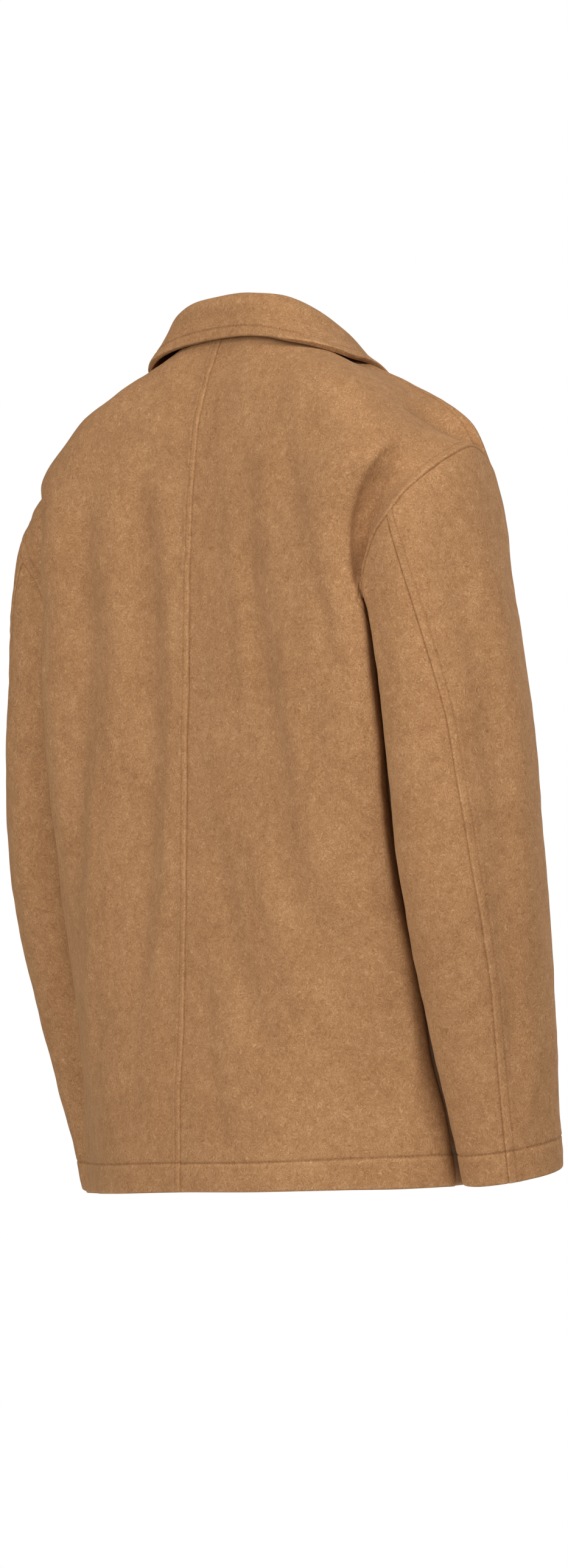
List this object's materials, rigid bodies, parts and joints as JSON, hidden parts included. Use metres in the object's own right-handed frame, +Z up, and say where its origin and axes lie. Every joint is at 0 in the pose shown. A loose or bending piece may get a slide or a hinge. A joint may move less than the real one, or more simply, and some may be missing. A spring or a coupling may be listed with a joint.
{
  "type": "wool jacket",
  "caption": "Boxy felted-wool jacket with a turned-down collar, dropped shoulders, two-piece sleeves, turned-up hems and a buttoned front, kept hollow in its worn shape.",
  "frame": {"origin": "middle of the neck opening, where the jacket is held when it is worn", "axes": "+Z up, the front faces -Y, the jacket's left side is +X"},
  "size_m": [0.5657, 0.2687, 0.7208],
  "materials": {
    "wool": "matte brushed felt",
    "button": "satin"
  },
  "bodies": {
    "root": {"back_left": "wool", "back_right": "wool", "front_left": "wool", "front_right": "wool", "sleeve_outer_left": "wool", "sleeve_outer_right": "wool", "sleeve_under_left": "wool", "sleeve_under_right": "wool", "upper_collar": "wool", "under_collar": "wool", "button_1": "button", "button_2": "button", "button_3": "button", "button_4": "button", "button_5": "button"}
  },
  "joints": []
}
